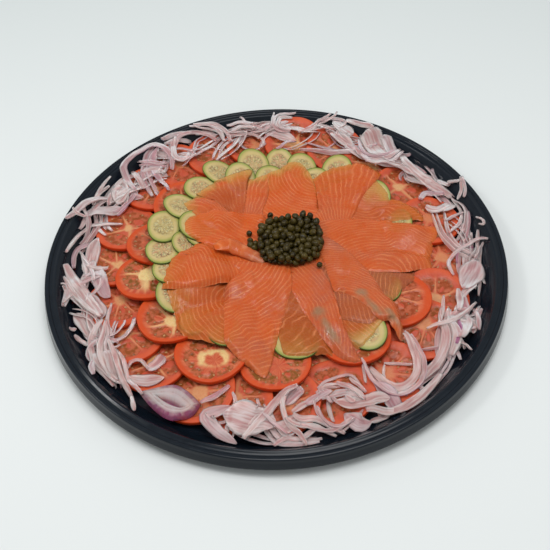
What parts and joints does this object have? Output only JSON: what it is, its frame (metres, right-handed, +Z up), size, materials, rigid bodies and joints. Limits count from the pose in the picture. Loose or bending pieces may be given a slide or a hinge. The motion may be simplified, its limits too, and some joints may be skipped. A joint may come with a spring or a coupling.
{
  "type": "smoked salmon platter",
  "caption": "Round black catering tray with a rosette of smoked salmon slices on rings of cucumber and tomato slices, a heap of capers in the middle and a border of onion shreds.",
  "frame": {"origin": "middle of the tray's flat underside", "axes": "+Z up, square to the underside; +Y towards the back of the platter"},
  "size_m": [0.4572, 0.4572, 0.0443],
  "materials": {
    "tray_plastic": "formed black plastic, satin with fine rings",
    "tomato": "cut tomato, moist",
    "cucumber": "cut cucumber with a dark green rind, moist",
    "salmon": "cold smoked salmon with pale fat lines, oily",
    "caper": "pickled capers, dark olive green, moist",
    "onion": "raw red onion shreds, translucent white with purple edges"
  },
  "bodies": {
    "root": {"tray": "tray_plastic", "bed": "tomato", "tomato_outer_01": "tomato", "tomato_outer_02": "tomato", "tomato_outer_03": "tomato", "tomato_outer_04": "tomato", "tomato_outer_05": "tomato", "tomato_outer_06": "tomato", "tomato_outer_07": "tomato", "tomato_outer_08": "tomato", "tomato_outer_09": "tomato", "tomato_outer_10": "tomato", "tomato_outer_11": "tomato", "tomato_outer_12": "tomato", "tomato_outer_13": "tomato", "tomato_outer_14": "tomato", "tomato_outer_15": "tomato", "tomato_outer_16": "tomato", "tomato_outer_17": "tomato", "tomato_outer_18": "tomato", "tomato_outer_19": "tomato", "tomato_outer_20": "tomato", "tomato_outer_21": "tomato", "tomato_outer_22": "tomato", "tomato_inner_01": "tomato", "tomato_inner_02": "tomato", "tomato_inner_03": "tomato", "tomato_inner_04": "tomato", "tomato_inner_05": "tomato", "tomato_inner_06": "tomato", "tomato_inner_07": "tomato", "tomato_inner_08": "tomato", "cucumber_01": "cucumber", "cucumber_02": "cucumber", "cucumber_03": "cucumber", "cucumber_04": "cucumber", "cucumber_05": "cucumber", "cucumber_06": "cucumber", "cucumber_07": "cucumber", "cucumber_08": "cucumber", "cucumber_09": "cucumber", "cucumber_10": "cucumber", "cucumber_11": "cucumber", "cucumber_12": "cucumber", "cucumber_13": "cucumber", "salmon_01": "salmon", "salmon_02": "salmon", "salmon_03": "salmon", "salmon_04": "salmon", "salmon_05": "salmon", "salmon_06": "salmon", "salmon_07": "salmon", "salmon_08": "salmon", "salmon_09": "salmon", "salmon_10": "salmon", "salmon_11": "salmon", "salmon_12": "salmon", "salmon_13": "salmon", "capers": "caper", "onion": "onion"}
  },
  "joints": []
}
